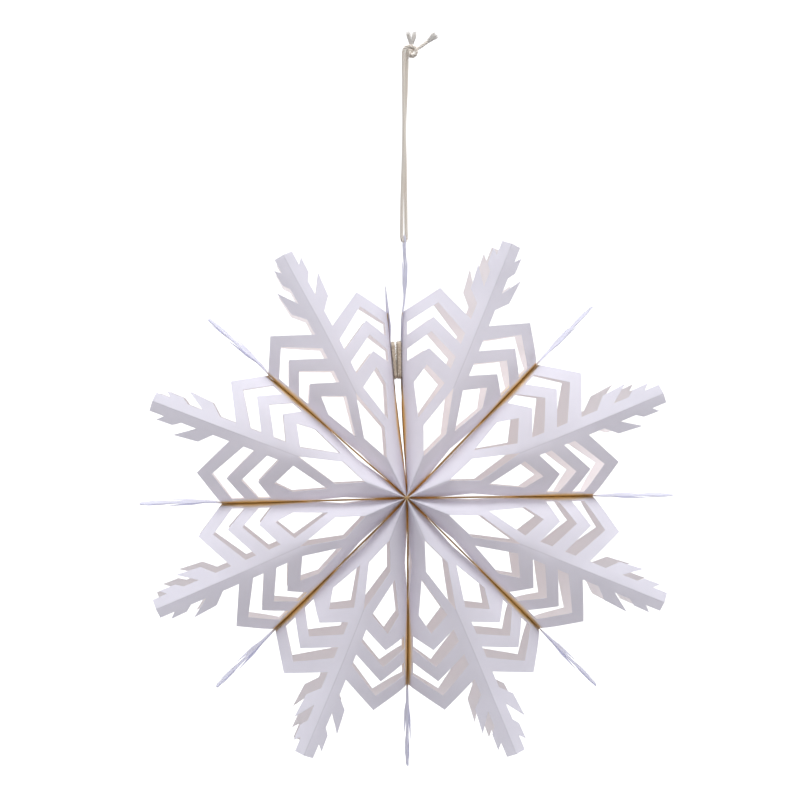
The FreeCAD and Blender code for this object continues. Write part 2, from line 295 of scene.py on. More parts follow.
# %% The twist tree
def twist_tree():
    tree, given, end = new_tree(
        "twist_plies", plies=3, ply_radius=0.00068, lay_radius=0.00074, lay_length=0.0068,
        step=0.0004, cotton=None,
    )
    path = add(tree, "GeometryNodeMeshToCurve", Mesh=given["Geometry"]).outputs[0]
    even = add(tree, "GeometryNodeResampleCurve", mode="LENGTH", Curve=path, Length=given["Step"]).outputs[0]
    copies = add(tree, "GeometryNodeDuplicateElements", domain="SPLINE", Geometry=even, Amount=given["Plies"])
    along = add(tree, "GeometryNodeSplineParameter").outputs["Length"]
    share = maths(tree, "DIVIDE", copies.outputs["Duplicate Index"], given["Plies"])
    turns = maths(tree, "ADD", maths(tree, "DIVIDE", along, given["Lay Length"]), share)
    angle = maths(tree, "MULTIPLY", turns, 2 * math.pi)
    normal = add(tree, "GeometryNodeInputNormal").outputs[0]
    tangent = add(tree, "GeometryNodeInputTangent").outputs[0]
    across = vectors(tree, "CROSS_PRODUCT", tangent, normal)
    ring = vectors(
        tree, "ADD", vectors(tree, "SCALE", normal, scale=maths(tree, "COSINE", angle)),
        vectors(tree, "SCALE", across, scale=maths(tree, "SINE", angle)),
    )
    offset = vectors(tree, "SCALE", ring, scale=given["Lay Radius"])
    marked = add(
        tree, "GeometryNodeStoreNamedAttribute", data_type="FLOAT", domain="POINT",
        Geometry=copies.outputs["Geometry"], Name="along", Value=along,
    ).outputs[0]
    marked = add(
        tree, "GeometryNodeStoreNamedAttribute", data_type="FLOAT_VECTOR", domain="POINT", Geometry=marked,
        Name="outward", Value=ring,
    ).outputs[0]
    wound = add(tree, "GeometryNodeSetPosition", Geometry=marked, Offset=offset).outputs[0]
    circle = add(tree, "GeometryNodeCurvePrimitiveCircle", Resolution=9, Radius=given["Ply Radius"]).outputs[0]
    turn = add(tree, "GeometryNodeSplineParameter").outputs["Factor"]
    section = add(
        tree, "GeometryNodeStoreNamedAttribute", data_type="FLOAT", domain="POINT",
        Geometry=circle, Name="around", Value=turn,
    ).outputs[0]
    swept = add(tree, "GeometryNodeCurveToMesh", Curve=wound, Profile_Curve=section, Fill_Caps=True).outputs[0]
    # crown: how far the surface faces outwards; the cotton material darkens the hollows with it as painted shade
    outward = add(tree, "GeometryNodeInputNamedAttribute", data_type="FLOAT_VECTOR", Name="outward").outputs[0]
    facing = vectors(tree, "DOT_PRODUCT", outward, add(tree, "GeometryNodeInputNormal").outputs[0])
    swept = add(
        tree, "GeometryNodeStoreNamedAttribute", data_type="FLOAT", domain="POINT", Geometry=swept,
        Name="crown", Value=facing,
    ).outputs[0]
    smooth = add(tree, "GeometryNodeSetShadeSmooth", Geometry=swept, Shade_Smooth=True).outputs[0]
    real = add(tree, "GeometryNodeRealizeInstances", Geometry=smooth).outputs[0]
    dressed = add(tree, "GeometryNodeSetMaterial", Geometry=real, Material=given["Cotton"]).outputs[0]
    tree.links.new(dressed, end.inputs[0])
    return tree


TWIST = twist_tree()
print("twist tree with", len(TWIST.nodes), "nodes")


# %% Cotton
def cotton_material(name, light, shade, fibre_scale, hollows=0.55):
    """Unbleached cotton: fibres run slantwise round a ply, and the hollows between plies are darkened as painted
    shade.
    """
    material, tree, face = shader(name, light, 0.88, 0.15)
    along = add(tree, "ShaderNodeAttribute", attribute_name="along").outputs["Fac"]
    around = add(tree, "ShaderNodeAttribute", attribute_name="around").outputs["Fac"]
    spot = add(
        tree, "ShaderNodeCombineXYZ", X=maths(tree, "MULTIPLY", along, 260.0),
        Y=maths(tree, "MULTIPLY", maths(tree, "SUBTRACT", around, maths(tree, "MULTIPLY", along, 210.0)), 9.0),
    ).outputs[0]
    fibres = add(tree, "ShaderNodeTexNoise", Vector=spot, Scale=1.6, Detail=3.0, Roughness=0.6).outputs["Fac"]
    place = add(tree, "ShaderNodeTexCoord").outputs["Object"]
    blotch = add(tree, "ShaderNodeTexNoise", Vector=place, Scale=fibre_scale, Detail=2.0).outputs["Fac"]
    both = maths(tree, "ADD", maths(tree, "MULTIPLY", fibres, 0.75), maths(tree, "MULTIPLY", blotch, 0.25))
    # painted shade: where a ply's surface turns away from the outside, into the hollows between plies, the colour is
    # darker
    crown = add(tree, "ShaderNodeAttribute", attribute_name="crown").outputs["Fac"]
    painted_ply_shade = maths(tree, "MULTIPLY", maths(tree, "SUBTRACT", crown, 0.75), hollows)
    colour = ramp(tree, maths(tree, "ADD", both, painted_ply_shade), (0.1, shade), (0.5, light))
    tree.links.new(colour, face.inputs["Base Color"])
    bump = add(tree, "ShaderNodeBump", Height=fibres, Strength=0.55, Distance=0.0003).outputs[0]
    tree.links.new(bump, face.inputs["Normal"])
    face.inputs["Sheen Weight"].default_value = 0.35
    face.inputs["Sheen Roughness"].default_value = 0.5
    return material


COTTON = cotton_material("natural_cotton", (0.99, 0.94, 0.87), (0.34, 0.24, 0.15), 900, hollows=0.8)
FLUFF = cotton_material("cotton_fluff", (0.99, 0.96, 0.93), (0.93, 0.89, 0.84), 1500, hollows=0.0)
print("cotton materials ready")


# %% Routes of the cord
def spline_path(name, points):
    """The points that Blender gives for a NURBS spline with these control points (in metres) and no bevel."""
    curve = bpy.data.curves.new(name, "CURVE")
    curve.dimensions, curve.resolution_u = "3D", 24
    spline = curve.splines.new("NURBS")
    spline.points.add(len(points) - 1)
    for spot, point in zip(spline.points, points):
        spot.co = (*point, 1)
    spline.order_u = 3
    spline.use_endpoint_u = True
    holder = bpy.data.objects.new(name, curve)
    bpy.context.collection.objects.link(holder)
    bpy.context.view_layer.update()
    line = bpy.data.meshes.new_from_object(holder)
    bpy.data.objects.remove(holder)
    return line


LOOP = [
    (-0.0024, -0.0006, -0.0008), (-0.0025, -0.001, -0.02), (-0.0021, -0.0016, -0.05),
    (-0.0028, -0.0013, -0.08), (-0.0037, -0.0006, -0.107), (-0.0038, 0.0, -0.127),
    (-0.0039, 0.0001, -0.1353), (-0.0002, -0.0001, -0.1354), (-0.0005, 0.0, -0.127),
    (-0.0007, 0.0007, -0.107), (-0.0009, 0.0013, -0.08), (-0.0018, 0.0016, -0.05),
    (0.0, 0.001, -0.02), (0.0002, 0.0007, -0.0008),
]
TAIL_UP = [(0.0034, 0.0002, 0.008), (0.003, -0.0003, 0.014), (0.0035, -0.0008, 0.0204)]
TAIL_SIDE = [(0.0066, -0.0004, 0.0071), (0.0121, -0.0006, 0.0099), (0.0189, -0.0002, 0.0162)]
loop_line = spline_path("cord_loop_route", LOOP)
cord = grown("cord_loop_plies", loop_line, TWIST, cotton=COTTON)

# %% [markdown]
# The two strands rise side by side, bend over to the right and wrap round each other into a round lump, an overhand
# knot pulled tight. Each strand follows its own smooth route, so the twist stays even round the bends. The two ends
# come out of the lump: one short end that has come fully undone into two tufts, and a longer one that is still
# twisted and ends in a fluffy brush.

# %% Knot
OVER_THE_TOP = [
    (-0.0024, -0.0006, -0.0008), (-0.0026, -0.0007, 0.003), (-0.0024, -0.0009, 0.0067), (-0.0004, -0.0013, 0.0092),
    (0.0028, -0.0017, 0.0094), (0.0062, -0.002, 0.0084), (0.0073, -0.0022, 0.0054), (0.0058, -0.0024, 0.0027),
    (0.0029, -0.0025, 0.0026), (0.0014, -0.0021, 0.0048), (0.0026, -0.0014, 0.0068), (0.0044, -0.0004, 0.0056),
]
ROUND_BEHIND = [
    (0.0002, 0.0007, -0.0008), (0.0001, 0.0008, 0.003), (0.0006, 0.001, 0.0062), (0.0024, 0.0014, 0.0086),
    (0.0052, 0.0016, 0.0087), (0.0073, 0.0014, 0.0062), (0.0066, 0.0011, 0.0032), (0.004, 0.0008, 0.0019),
    (0.0016, 0.0002, 0.003), (0.0022, -0.0002, 0.0058), (0.0044, -0.0004, 0.0062),
]
strands = [
    grown(f"knot_strand_{n}", spline_path(f"knot_route_{n}", route), TWIST, cotton=COTTON, step=0.00035)
    for n, route in enumerate((OVER_THE_TOP, ROUND_BEHIND))
]
tail_side_line = spline_path("tail_side_route", TAIL_SIDE)
tail_side_points = [v.co.copy() for v in tail_side_line.vertices]
tail_side = grown("tail_side_plies", tail_side_line, TWIST, cotton=COTTON, lay_length=0.0056)
tail_up_line = spline_path("tail_up_route", TAIL_UP)
tail_up_points = [v.co.copy() for v in tail_up_line.vertices]
print("knot strands and tails", [len(p.data.polygons) for p in strands + [tail_side]])


# %% Frayed ends
def fray_tree():
    """Loose hairs that leave a small disc, spread apart and curl. Start and Along place the disc."""
    tree, given, end = new_tree(
        "fray", hairs=60, length=0.006, spread=0.5, root=0.0008, hair=0.00005, curl=0.0006, seed=1,
        start=Vector((0, 0, 0)), along=Vector((0, 0, 1)), cotton=None,
    )
    dots = add(tree, "GeometryNodePoints", Count=given["Hairs"]).outputs[0]
    number = add(tree, "GeometryNodeInputIndex").outputs[0]

    def chance(low, high, shift):
        seed = maths(tree, "ADD", given["Seed"], shift)
        node = add(tree, "FunctionNodeRandomValue", data_type="FLOAT", ID=number, Seed=seed)
        tree.links.new(seed, node.inputs["Seed"])
        for plug in node.inputs:
            if plug.enabled and plug.name == "Min":
                plug.default_value = low
            if plug.enabled and plug.name == "Max":
                plug.default_value = high
        return next(plug for plug in node.outputs if plug.enabled)

    turn = chance(0, 2 * math.pi, 0)
    out = maths(tree, "SQRT", chance(0.0, 1.0, 10))
    flat = add(
        tree, "ShaderNodeCombineXYZ", X=maths(tree, "MULTIPLY", maths(tree, "COSINE", turn), out),
        Y=maths(tree, "MULTIPLY", maths(tree, "SINE", turn), out),
    ).outputs[0]
    place = vectors(tree, "SCALE", flat, scale=given["Root"])
    spread = vectors(tree, "SCALE", flat, scale=given["Spread"])
    lean = vectors(tree, "ADD", spread, (0, 0, 1))
    placed = add(tree, "GeometryNodeSetPosition", Geometry=dots, Position=place).outputs[0]
    line = add(tree, "GeometryNodeCurvePrimitiveLine", mode="POINTS", Start=(0, 0, 0), End=(0, 0, 1)).outputs[0]
    fine = add(tree, "GeometryNodeResampleCurve", Curve=line, Count=9).outputs[0]
    face_out = add(tree, "FunctionNodeAlignRotationToVector", axis="Z", Vector=lean).outputs[0]
    long = maths(tree, "MULTIPLY", given["Length"], chance(0.55, 1.0, 20))
    size = add(tree, "ShaderNodeCombineXYZ", X=long, Y=long, Z=long).outputs[0]
    many = add(
        tree, "GeometryNodeInstanceOnPoints", Points=placed, Instance=fine, Rotation=face_out, Scale=size,
    ).outputs[0]
    real = add(tree, "GeometryNodeRealizeInstances", Geometry=many).outputs[0]
    factor = add(tree, "GeometryNodeSplineParameter").outputs["Factor"]
    spot = add(tree, "GeometryNodeInputPosition").outputs[0]
    wave = add(tree, "ShaderNodeTexNoise", Vector=spot, Scale=420.0, Detail=1.0).outputs["Color"]
    centred = vectors(tree, "SUBTRACT", wave, (0.5, 0.5, 0.5))
    push = maths(tree, "MULTIPLY", maths(tree, "POWER", factor, 1.4), maths(tree, "MULTIPLY", given["Curl"], 4.0))
    curled = add(
        tree, "GeometryNodeSetPosition", Geometry=real, Offset=vectors(tree, "SCALE", centred, scale=push)
    ).outputs[0]
    turned = add(tree, "FunctionNodeAlignRotationToVector", axis="Z", Vector=given["Along"]).outputs[0]
    away = add(tree, "FunctionNodeRotateVector", Vector=add(tree, "GeometryNodeInputPosition").outputs[0],
               Rotation=turned).outputs[0]
    moved = add(
        tree, "GeometryNodeSetPosition", Geometry=curled, Position=vectors(tree, "ADD", away, given["Start"])
    ).outputs[0]
    circle = add(tree, "GeometryNodeCurvePrimitiveCircle", Resolution=3, Radius=given["Hair"]).outputs[0]
    solid = add(tree, "GeometryNodeCurveToMesh", Curve=moved, Profile_Curve=circle, Fill_Caps=True).outputs[0]
    dressed = add(tree, "GeometryNodeSetMaterial", Geometry=solid, Material=given["Cotton"]).outputs[0]
    tree.links.new(dressed, end.inputs[0])
    return tree


FRAY = fray_tree()
seed_mesh = bpy.data.meshes.new("seed")


def joined(name, pieces):
    """Several plain meshes as one object."""
    with bpy.context.temp_override(
        active_object=pieces[0], object=pieces[0], selected_editable_objects=pieces, selected_objects=pieces
    ):
        bpy.ops.object.join()
    pieces[0].name = name
    pieces[0].data.name = name
    return pieces[0]


knot = joined("cord_knot_plies", strands)
side_end = tail_side_points[-1]
side_along = (side_end - tail_side_points[-12]).normalized()
brush = grown(
    "brush", seed_mesh, FRAY, hairs=420, length=0.0085, spread=0.2, root=0.0015, hair=0.00007, curl=0.0006, seed=4,
    start=side_end - side_along * 0.0042, along=side_along, cotton=FLUFF,
)
tail_side = joined("cord_tail_side_plies", [tail_side, brush])
stub = grown("stub", tail_up_line, TWIST, cotton=COTTON, lay_radius=0.0004, ply_radius=0.0005)
cut = 0.42  # only the first part of the short end is still twisted
stub_low, stub_high = tail_up_points[0].z, tail_up_points[-1].z
limit = stub_low + cut * (stub_high - stub_low)
for vertex in stub.data.vertices:
    vertex.co.z = min(vertex.co.z, limit)
tufts = [
    grown(
        f"tuft_{n}", seed_mesh, FRAY, hairs=190, length=0.0115, spread=0.1, root=0.0009, hair=0.00006,
        curl=0.00035, seed=20 + n, start=Vector((0.003 + shift, -0.0004, limit - 0.0034)),
        along=Vector((tilt, -0.06, 1)), cotton=FLUFF,
    )
    for n, (tilt, shift) in enumerate(((-0.22, 0.0), (0.25, 0.0006)))
]
tail_up = joined("cord_tail_up_plies", [stub] + tufts)
print("frayed ends", len(tail_side.data.polygons), len(tail_up.data.polygons))

# %% Put the cord in the frame
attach(cord, "cord")
for piece in (knot, tail_side, tail_up):
    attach(piece, "hanger")
for piece, node in (
    (cord, "cord_loop"), (knot, "cord_knot"), (tail_side, "cord_tail_side"), (tail_up, "cord_tail_up"),
):
    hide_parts(node)

# %% [markdown]
# ## Paper
#
# Heavy uncoated paper is nearly matt. Its colour is a cool white outside. The inner faces are given a warmer,
# brighter colour, which is painted bounce light from the papers around them, and the deepest part of each fold, next
# to the leaf, is painted amber: painted shade and warm bounce light of the narrow groove. Along the crease the
# outside colour is darkened a little as painted shade. Every cut paper carries attributes from its tree: "valley",
# which is 0 where the painted amber is deepest and grows away from the leaf, and "sheet", the point's place on the
# flat paper, which the fibres follow. The cells' papers also have "fold", which is 0 at a leaf and 1 at a crease.


# %% Paper materials
def blended(tree, factor, one, two):
    """Colour one where the factor is 0 and colour two where it is 1; one is a socket or a colour."""
    mix = tree.nodes.new("ShaderNodeMix")
    mix.data_type = "RGBA"
    tree.links.new(factor, mix.inputs["Factor"])
    shades = [plug for plug in mix.inputs if plug.type == "RGBA"]
    if isinstance(one, bpy.types.NodeSocket):
        tree.links.new(one, shades[0])
    else:
        shades[0].default_value = (*one, 1)
    shades[1].default_value = (*two, 1)
    return next(plug for plug in mix.outputs if plug.type == "RGBA")


def paper_material(name, face_colour, groove_shade_colour, glow, mottle=0.02, crease=0.0):
    """Uncoated paper whose colour turns close to the leaf to an amber that is painted shade and warm bounce light of
    the deep groove.
    """
    material, tree, face = shader(name, face_colour, 0.78, 0.2)
    sheet = add(tree, "ShaderNodeAttribute", attribute_name="sheet").outputs["Vector"]
    valley = add(tree, "ShaderNodeAttribute", attribute_name="valley").outputs["Fac"]
    cloud = add(tree, "ShaderNodeTexNoise", Vector=sheet, Scale=0.09, Detail=4.0, Roughness=0.6).outputs["Fac"]
    fibre = add(tree, "ShaderNodeTexNoise", Vector=sheet, Scale=2.4, Detail=5.0, Roughness=0.7).outputs["Fac"]
    tint = maths(tree, "ADD", maths(tree, "MULTIPLY", cloud, 0.6), maths(tree, "MULTIPLY", fibre, 0.4))
    low = tuple(c * (1 - mottle) for c in face_colour)
    high = tuple(min(1.0, c * (1 + mottle)) for c in face_colour)
    plain = ramp(tree, tint, (0.35, low), (0.65, high))
    if crease:  # painted shade: the colour is darkened along the crease line, in the middle of the flat sheet
        beside = add(tree, "ShaderNodeSeparateXYZ", Vector=sheet).outputs[0]
        away = add(tree, "ShaderNodeMapRange", Value=maths(tree, "ABSOLUTE", beside))
        for plug, value in zip(away.inputs[1:5], (0.2, 0.6, 1 - crease, 1.0)):
            plug.default_value = value
        plain = vectors(tree, "SCALE", plain, scale=away.outputs[0])
    # painted groove shade: where valley is small, close to the leaf, the colour and the translucent glow are blended
    # towards the amber colour
    edge = maths(tree, "ADD", valley, maths(tree, "MULTIPLY", maths(tree, "SUBTRACT", cloud, 0.5), 0.3))
    deep = ramp(tree, edge, (0.2, (1, 1, 1)), (0.55, (0.5, 0.5, 0.5)), (1.0, (0, 0, 0)))
    tree.links.new(blended(tree, deep, plain, groove_shade_colour), face.inputs["Base Color"])
    bump = add(tree, "ShaderNodeBump", Height=fibre, Strength=0.12, Distance=0.0002).outputs[0]
    tree.links.new(bump, face.inputs["Normal"])
    through = add(tree, "ShaderNodeBsdfTranslucent", Color=blended(tree, deep, glow, groove_shade_colour), Normal=bump)
    blend = tree.nodes.new("ShaderNodeMixShader")
    blend.inputs[0].default_value = 0.48
    tree.links.new(face.outputs[0], blend.inputs[1])
    tree.links.new(through.outputs[0], blend.inputs[2])
    tree.links.new(blend.outputs[0], tree.nodes["Material Output"].inputs["Surface"])
    return material


# each material's third colour is the painted shade and warm bounce light of the groove next to the leaf
OUTSIDE = paper_material("paper_outside", (0.84, 0.845, 0.935), (0.92, 0.73, 0.38), (0.92, 0.92, 0.99), crease=0.2)
# the inner faces' warmer, brighter colour is painted bounce light from the papers around them
INSIDE = paper_material("paper_inside", (0.96, 0.91, 0.9), (0.94, 0.76, 0.44), (0.98, 0.93, 0.9))
# the leaves' paper: its dark amber from the hub outwards is painted shade and warm bounce light of the groove
LEAF_GROOVE_SHADED = paper_material("paper_leaf_groove_shaded", (0.88, 0.88, 0.94), (0.62, 0.42, 0.19), (0.92, 0.92, 0.99))
CUT = paper_material("paper_cut_edge", (0.86, 0.86, 0.91), (0.82, 0.66, 0.42), (0.95, 0.93, 0.93))
print("paper materials ready")

# %% [markdown]
# ## The die-cut pattern
#
# The pattern is drawn flat, as a real die would cut it: w is the distance beside the crease and r the distance from
# the hub, both in millimetres. A rim and its windows are corner lists. A constrained Delaunay triangulation of those
# outlines, with a grid of extra points between them, gives an even mesh that keeps every cut edge crisp and still has
# enough points to bend. The grid is finer next to the leaf, where the paper turns steeply inwards.

# %% Flat cutting helpers
SHARES = [0, 0.001, 0.004, 0.009, 0.016, 0.025, 0.036, 0.05, 0.07, 0.095, 0.125, 0.16, 0.2, 0.26, 0.33,
          0.41, 0.5, 0.6, 0.7, 0.8, 0.88, 0.94, 1.0]
GLUE = 0.4  # the sheet stops this far from the leaf's middle


def reach(r, half):
    """Half width of a cell's paper at radius r."""
    return r * math.tan(math.radians(half)) - min(GLUE, 0.1 * r)


def share_at(w, r, half):
    return min(1.0, max(0.0, 1 - abs(w) / max(reach(r, half), 1e-6)))


def from_leaf(along, out, half):
    """(w, r) of a point given along the leaf and out from it."""
    a = math.radians(half)
    return along * math.sin(a) - out * math.cos(a), along * math.cos(a) + out * math.sin(a)


def inside(points, ring):
    """Which points lie inside a closed ring of corners."""
    hit = np.zeros(len(points), bool)
    for (x1, z1), (x2, z2) in zip(ring, ring[1:] + ring[:1]):
        if z1 != z2:
            crosses = (z1 > points[:, 1]) != (z2 > points[:, 1])
            hit ^= crosses & (points[:, 0] < (x2 - x1) * (points[:, 1] - z1) / (z2 - z1) + x1)
    return hit


def split(ring, limit):
    """The ring with its long edges divided, so that none is longer than limit(w, r) at its middle."""
    done = []
    stack = list(zip(ring, ring[1:] + ring[:1]))[::-1]
    while stack:
        one, two = stack.pop()
        centre = ((one[0] + two[0]) / 2, (one[1] + two[1]) / 2)
        if math.dist(one, two) > limit(*centre):
            stack += [(centre, two), (one, centre)]
        else:
            done.append(one)
    return done


def cut_sheet(name, rim, windows, grid, limit, seams=()):
    """A flat mesh at (w, 0, r) in metres: the rim less its windows, with the grid's points and seams inside."""
    rings = [split(ring, limit) for ring in [rim] + windows]
    points, edges = [], []
    for ring in rings:
        first = len(points)
        points += ring
        edges += [(first + n, first + (n + 1) % len(ring)) for n in range(len(ring))]
    for seam in seams:
        first = len(points)
        points += list(seam)
        edges += [(first + n, first + n + 1) for n in range(len(seam) - 1)]
    spots = np.array(grid).reshape(-1, 2)
    keep = inside(spots, rings[0])
    for ring in rings[1:]:
        keep &= ~inside(spots, ring)
    points += [tuple(p) for p in spots[keep]]
    verts, _, faces, _, _, _ = delaunay_2d_cdt([Vector(p) for p in points], edges, [], 0, 1e-4)
    flat = np.array([v[:] for v in verts])
    centres = np.array([flat[list(f)].mean(axis=0) for f in faces])
    wanted = inside(centres, rim)
    for ring in windows:
        wanted &= ~inside(centres, ring)
    tris = [tuple(f) for f, ok in zip(faces, wanted) if ok]
    used = sorted({n for f in tris for n in f})
    number = {old: new for new, old in enumerate(used)}
    mesh = bpy.data.meshes.new(name)
    mesh.from_pydata(
        [(flat[n][0] * MM, 0.0, flat[n][1] * MM) for n in used], [], [tuple(number[n] for n in f) for f in tris]
    )
    if mesh.polygons[0].normal.y > 0:
        mesh.flip_normals()
    return mesh


# %% The cell's pattern
ARM = 7.0
BARBS = [(ARM, 151.0), (15.0, 159.5), (16.8, 178.2), (ARM, 164.0), (ARM, 176.0), (10.6, 181.0), (11.0, 193.4),
         (ARM, 189.0)]
TIP = 200.5


def kite(half):
    return [(13.6, 58.0), (ARM, 88.0), (23.1, 96.7), from_leaf(85.2, 7.4, half)]


CHEVRONS = {  # inner and outer edge at the arm, apex beside the crease, outer edge at the leaf
    "outer": (127.2, 138.5, (35.4, 152.8), 137.8),
    "middle": (108.8, 118.8, (31.8, 131.0), 118.1),
    "inner": (0, 99.4, (26.2, 108.4), 98.9),
}
BAND, BANK = 10.6, 3.5


def chevron_gap(low, high, half):
    _, low_out, low_tip, low_leaf = CHEVRONS[low]
    high_in, _, high_tip, high_leaf = CHEVRONS[high]
    return [
        (ARM, low_out), low_tip, from_leaf(low_leaf + 2.3, BANK, half),
        from_leaf(high_leaf - BAND + 2.9, BANK, half), (high_tip[0] * 0.92, high_tip[1] - BAND), (ARM, high_in),
    ]


def cell_sheet(name, pitch, slits):
    """The whole paper of one cell, front crease in the middle; slits are the depths of the cuts at its two leaves."""
    half = pitch / 2
    _, outer_out, outer_tip, outer_leaf = CHEVRONS["outer"]

    def side(depth):
        slit = [from_leaf(21.0, GLUE, half), from_leaf(47.5, depth, half), from_leaf(77.0, GLUE, half)]
        chevron = [from_leaf(outer_leaf, GLUE, half), outer_tip, (ARM, outer_out)]
        return [(reach(0.3, half), 0.3)] + (slit if depth else []) + chevron + BARBS + [(ARM, TIP - 0.4)]

    before, after = (side(depth) for depth in slits)
    rim = [(0.0, 0.3)] + after + [(0.0, TIP)] + [(-w, r) for w, r in reversed(before)]
    holes = [kite(half), chevron_gap("inner", "middle", half), chevron_gap("middle", "outer", half)]
    holes += [[(-w, r) for w, r in reversed(ring)] for ring in holes]
    holes.append([(0.0, 33.0), (8.5, 54.0), (0.0, 87.0), (-8.5, 54.0)])
    rays = [[(0.0, 0.5 + n * 5.0) for n in range(41)]]
    for share in SHARES[1:-1]:
        for sign in (1, -1):
            spots = [0.5 + n * 5.0 for n in range(41)]
            rays.append([(sign * reach(r, half) * (1 - share), r) for r in spots])

    def limit(w, r):
        share = share_at(w, r, half)
        return 3.0 if share > 0.2 else 1.6 if share > 0.06 else 0.8

    sheet = cut_sheet(name, rim, holes, [], limit, rays)
    print(name, len(sheet.vertices), "points", len(sheet.polygons), "triangles")
    return sheet


SLIT = 3.2
SHEETS = [
    cell_sheet(
        f"cell_sheet_{cell}", WIDE if cell <= 5 else NARROW,
        (0 if cell == 1 else SLIT * 0.72, 0 if cell == 8 else SLIT),
    )
    for cell in range(1, 9)
]

# %% [markdown]
# ## Folding the cells
#
# All sixteen cell papers follow one rule, so one Geometry Nodes tree folds them. It measures how far each point lies
# between its leaf and the crease, lifts the point forwards by that share (steep at the leaf, almost flat at the
# crease), lets the arm's two halves fall back a little from their crease, adds a slow random waviness as real paper
# has, turns the sheet to its direction and gives it its thickness. The thickness comes from an extrusion whose top,
# bottom and sides get the outside, inside and cut-edge papers.


# %% The fold tree
FALL_SPAN = (0.105, 0.16)  # where the arm's halves begin to fall back, and where they have done so, from the hub
SWAY_SPAN = (0.12, 0.21)  # the same for the arm's sideways sway
GLUED_SPANS = ((0.07, 0.108), (0.14, 0.108))  # the painted groove shade widens from either end of the glue line to its middle
GROOVE_SHADE_SHIFT = 0.055  # how much nearer the hub the painted groove shade lies beside an end leaf
LEAN_REACH = 0.074  # beyond this distance from the hub its lean has nearly died out


